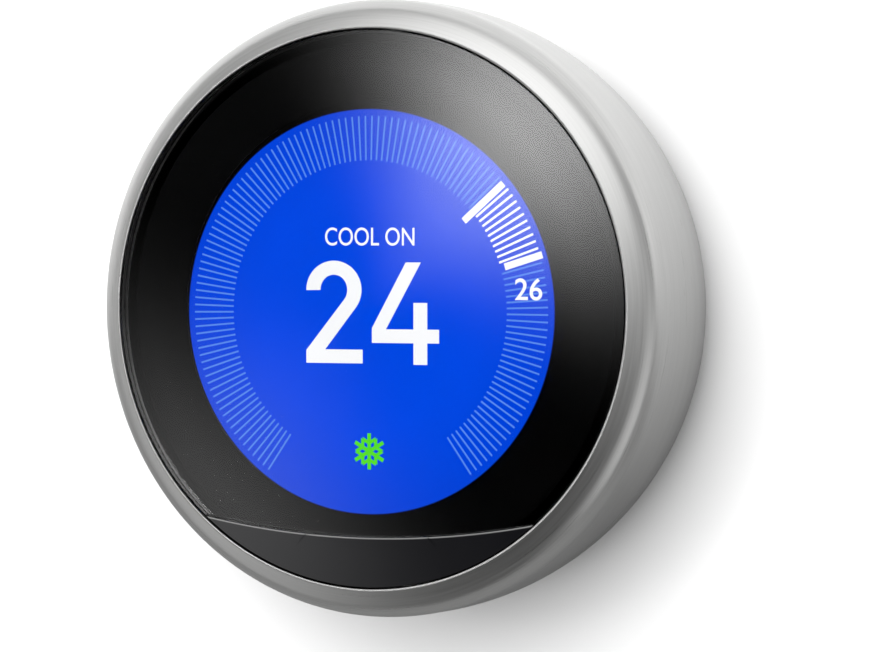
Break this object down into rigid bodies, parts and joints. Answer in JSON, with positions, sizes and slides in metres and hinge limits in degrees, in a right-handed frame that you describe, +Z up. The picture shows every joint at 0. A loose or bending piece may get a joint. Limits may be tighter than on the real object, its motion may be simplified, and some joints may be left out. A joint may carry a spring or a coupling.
{
  "type": "wall thermostat",
  "caption": "Round wall thermostat: brushed metal ring that turns round a domed black glass face, on a flat base screwed to the wall.",
  "frame": {"origin": "middle of the base's wall side, halfway between the two wall screws, in the wall's plane", "axes": "+Z up the wall, +Y into the wall, so the face looks along -Y; +X to the viewer's right"},
  "size_m": [0.084, 0.0308, 0.084],
  "materials": {
    "brushed_steel": "brushed round its circumference",
    "lens_glass": "clear, polished, black printed border",
    "dark_window": "polished, infra-red passing",
    "display_glass": "lit blue screen",
    "white_film": "matt diffuser",
    "bezel_metal": "satin",
    "clear_bond": "clear",
    "black_tape": "matt",
    "ribbon_film": "satin amber film",
    "black_plastic": "fine texture",
    "code_band": "matt with fine dark bars",
    "glide_film": "satin low-friction film",
    "circuit_board": "solder mask",
    "sensor_can": "satin",
    "milky_lens": "milky",
    "component_black": "matt",
    "connector_black": "satin",
    "connector_white": "satin",
    "gold_contact": "polished",
    "screw_steel": "machined",
    "spring_steel": "drawn wire",
    "battery_foil": "wrinkled foil",
    "shield_tin": "tinned",
    "capacitor_can": "satin",
    "white_plastic": "fine texture",
    "terminal_grey": "satin",
    "tab_white": "satin",
    "vial_clear": "clear",
    "level_fluid": "clear yellow-green"
  },
  "bodies": {
    "base": {"base_plate": "white_plastic", "base_board": "circuit_board", "terminal_block_left": "terminal_grey", "terminal_block_right": "terminal_grey", "wire_clamps_left": "spring_steel", "wire_clamps_right": "spring_steel", "base_socket": "connector_black", "base_socket_contacts": "gold_contact", "level_vial": "vial_clear", "level_fluid": "level_fluid", "retaining_clips": "spring_steel"},
    "head": {"head_back_cover": "black_plastic", "main_board": "circuit_board", "head_plug": "connector_black", "head_plug_pins": "gold_contact", "guide_pins": "screw_steel", "press_springs": "spring_steel", "press_switch": "component_black", "switch_dome": "spring_steel", "battery": "battery_foil", "processor_shield": "shield_tin", "radio_shield": "shield_tin", "board_chips": "component_black", "board_capacitors": "capacitor_can", "sounder": "component_black", "board_connectors": "connector_white", "radio_antenna": "spring_steel", "ring_sensor": "component_black", "service_port": "shield_tin", "board_screws": "screw_steel", "display_cable": "ribbon_film"},
    "face": {"front_glass": "lens_glass", "sensor_window": "dark_window", "face_frame": "black_plastic", "display_backlight": "white_film", "display_panel": "display_glass", "display_bezel": "bezel_metal", "optical_bond": "clear_bond", "lens_tape": "black_tape", "ring_keeper": "black_plastic", "keeper_screws": "screw_steel", "sensor_board": "circuit_board", "motion_sensor": "sensor_can", "motion_lens": "milky_lens", "window_sensors": "component_black", "press_plunger": "black_plastic"},
    "ring": {"outer_ring": "brushed_steel", "ring_carrier": "black_plastic", "ring_code_band": "code_band", "ring_glides": "glide_film"},
    "wire_tab_left_1": {"wire_tab_left_1": "tab_white"},
    "wire_tab_left_2": {"wire_tab_left_2": "tab_white"},
    "wire_tab_left_3": {"wire_tab_left_3": "tab_white"},
    "wire_tab_left_4": {"wire_tab_left_4": "tab_white"},
    "wire_tab_left_5": {"wire_tab_left_5": "tab_white"},
    "wire_tab_right_1": {"wire_tab_right_1": "tab_white"},
    "wire_tab_right_2": {"wire_tab_right_2": "tab_white"},
    "wire_tab_right_3": {"wire_tab_right_3": "tab_white"},
    "wire_tab_right_4": {"wire_tab_right_4": "tab_white"},
    "wire_tab_right_5": {"wire_tab_right_5": "tab_white"}
  },
  "joints": [
    {"name": "display_pull_off", "type": "slide", "parent": "base", "child": "head", "axis": [0, -1, 0], "range_m": [0, 0.035], "deforming": ["retaining_clips"]},
    {"name": "face_press", "type": "slide", "parent": "head", "child": "face", "axis": [0, 1, 0], "range_m": [0, 0.0006], "stiffness_N_per_m": 3000, "springref_m": -0.001, "deforming": ["press_springs", "switch_dome", "display_cable"]},
    {"name": "ring_turn", "type": "hinge", "parent": "face", "child": "ring", "pos_m": [0, -0.021, 0], "axis": [0, 1, 0], "continuous": true},
    {"name": "wire_tab_left_1_press", "type": "slide", "parent": "base", "child": "wire_tab_left_1", "axis": [0, 1, 0], "range_m": [0, 0.0012], "stiffness_N_per_m": 400},
    {"name": "wire_tab_left_2_press", "type": "slide", "parent": "base", "child": "wire_tab_left_2", "axis": [0, 1, 0], "range_m": [0, 0.0012], "stiffness_N_per_m": 400},
    {"name": "wire_tab_left_3_press", "type": "slide", "parent": "base", "child": "wire_tab_left_3", "axis": [0, 1, 0], "range_m": [0, 0.0012], "stiffness_N_per_m": 400},
    {"name": "wire_tab_left_4_press", "type": "slide", "parent": "base", "child": "wire_tab_left_4", "axis": [0, 1, 0], "range_m": [0, 0.0012], "stiffness_N_per_m": 400},
    {"name": "wire_tab_left_5_press", "type": "slide", "parent": "base", "child": "wire_tab_left_5", "axis": [0, 1, 0], "range_m": [0, 0.0012], "stiffness_N_per_m": 400},
    {"name": "wire_tab_right_1_press", "type": "slide", "parent": "base", "child": "wire_tab_right_1", "axis": [0, 1, 0], "range_m": [0, 0.0012], "stiffness_N_per_m": 400},
    {"name": "wire_tab_right_2_press", "type": "slide", "parent": "base", "child": "wire_tab_right_2", "axis": [0, 1, 0], "range_m": [0, 0.0012], "stiffness_N_per_m": 400},
    {"name": "wire_tab_right_3_press", "type": "slide", "parent": "base", "child": "wire_tab_right_3", "axis": [0, 1, 0], "range_m": [0, 0.0012], "stiffness_N_per_m": 400},
    {"name": "wire_tab_right_4_press", "type": "slide", "parent": "base", "child": "wire_tab_right_4", "axis": [0, 1, 0], "range_m": [0, 0.0012], "stiffness_N_per_m": 400},
    {"name": "wire_tab_right_5_press", "type": "slide", "parent": "base", "child": "wire_tab_right_5", "axis": [0, 1, 0], "range_m": [0, 0.0012], "stiffness_N_per_m": 400}
  ]
}
